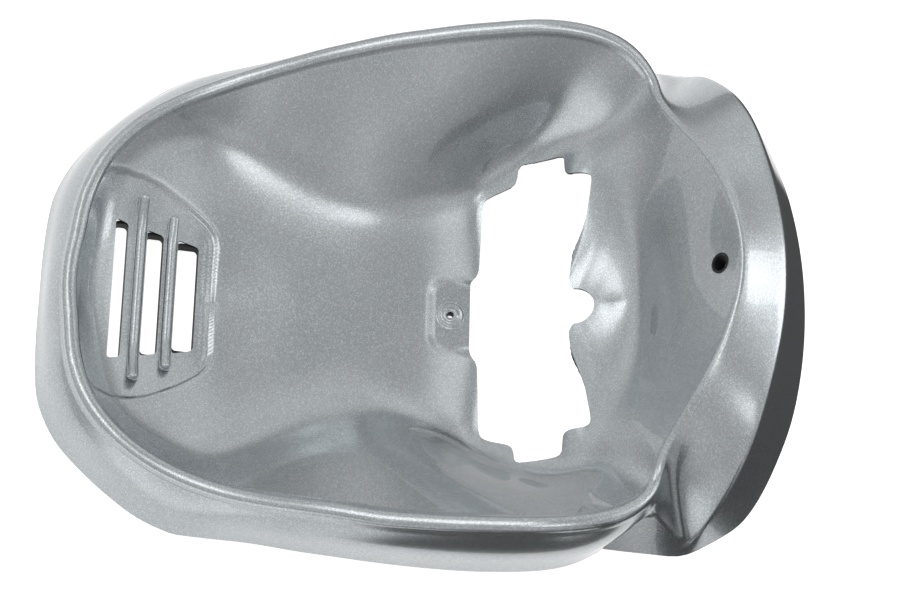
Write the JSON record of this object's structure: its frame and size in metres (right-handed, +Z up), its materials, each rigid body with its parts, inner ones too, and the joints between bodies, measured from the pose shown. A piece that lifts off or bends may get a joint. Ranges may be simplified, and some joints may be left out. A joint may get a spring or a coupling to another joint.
{
  "type": "scooter front panel",
  "caption": "Moulded scooter leg shield: a deep basin with a rolled rim, flared skirt and hood, a louvred grille, a steering cut-out and a screw seat.",
  "frame": {"origin": "middle of the panel's footprint on the table, at table height", "axes": "+X along the panel from its nose with the grille to its hood, +Y across it, +Z up out of the basin"},
  "size_m": [0.5796, 0.4326, 0.148],
  "materials": {
    "silver_lacquered_plastic": "metallic lacquer under clear coat, bare dark plastic at the back"
  },
  "bodies": {
    "root": {"front_panel": "silver_lacquered_plastic"}
  },
  "joints": []
}
